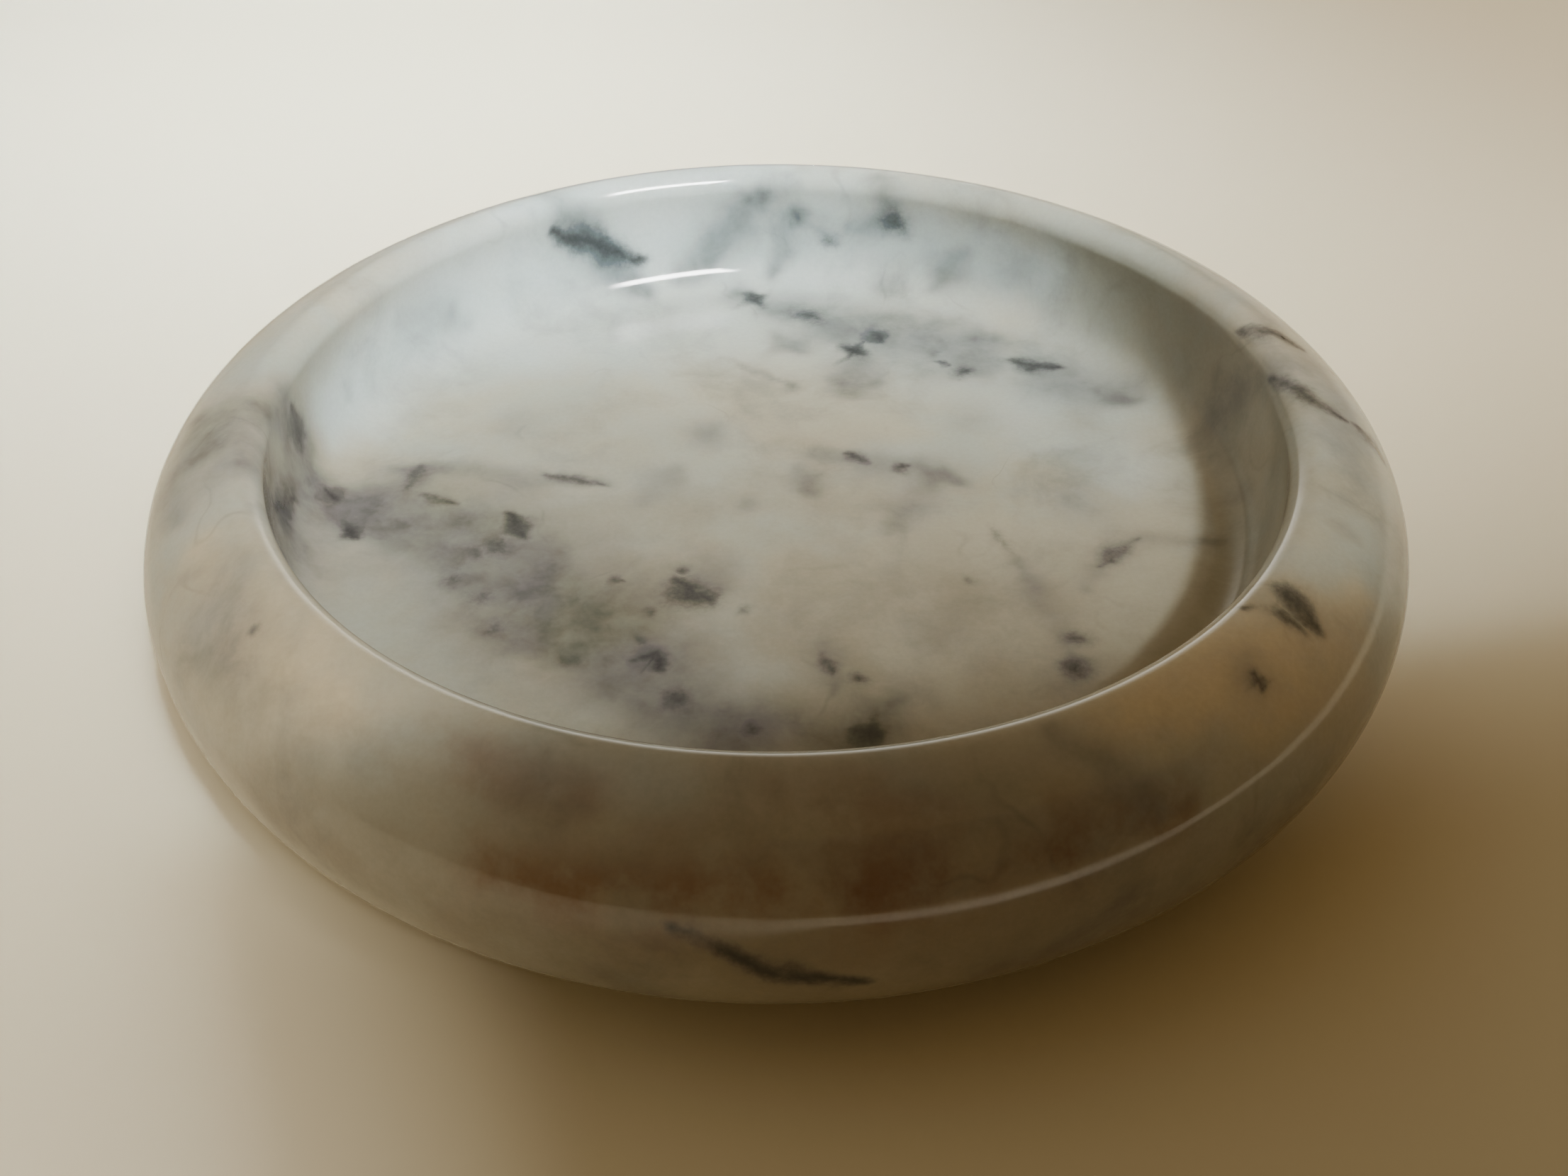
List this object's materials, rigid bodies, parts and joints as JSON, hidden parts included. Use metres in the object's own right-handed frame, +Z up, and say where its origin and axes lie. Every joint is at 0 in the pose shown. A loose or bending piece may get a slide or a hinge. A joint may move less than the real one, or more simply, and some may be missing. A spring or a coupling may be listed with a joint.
{
  "type": "shaving bowl",
  "caption": "Low round bowl turned from one piece of polished veined white marble, with a thick rounded rim, a shallow steep-walled well and small soft pads under its flat base.",
  "frame": {"origin": "centre of the plane that the bowl stands on, on the axis it was turned about", "axes": "+Z up along the turning axis; +X to the right and +Y away from a viewer in front; the four pads lie on +X, +Y, -X and -Y"},
  "size_m": [0.14, 0.14, 0.0285],
  "materials": {
    "marble": "polished",
    "pad": "satin, slightly milky"
  },
  "bodies": {
    "root": {"bowl": "marble", "pad_right": "pad", "pad_back": "pad", "pad_left": "pad", "pad_front": "pad"}
  },
  "joints": []
}
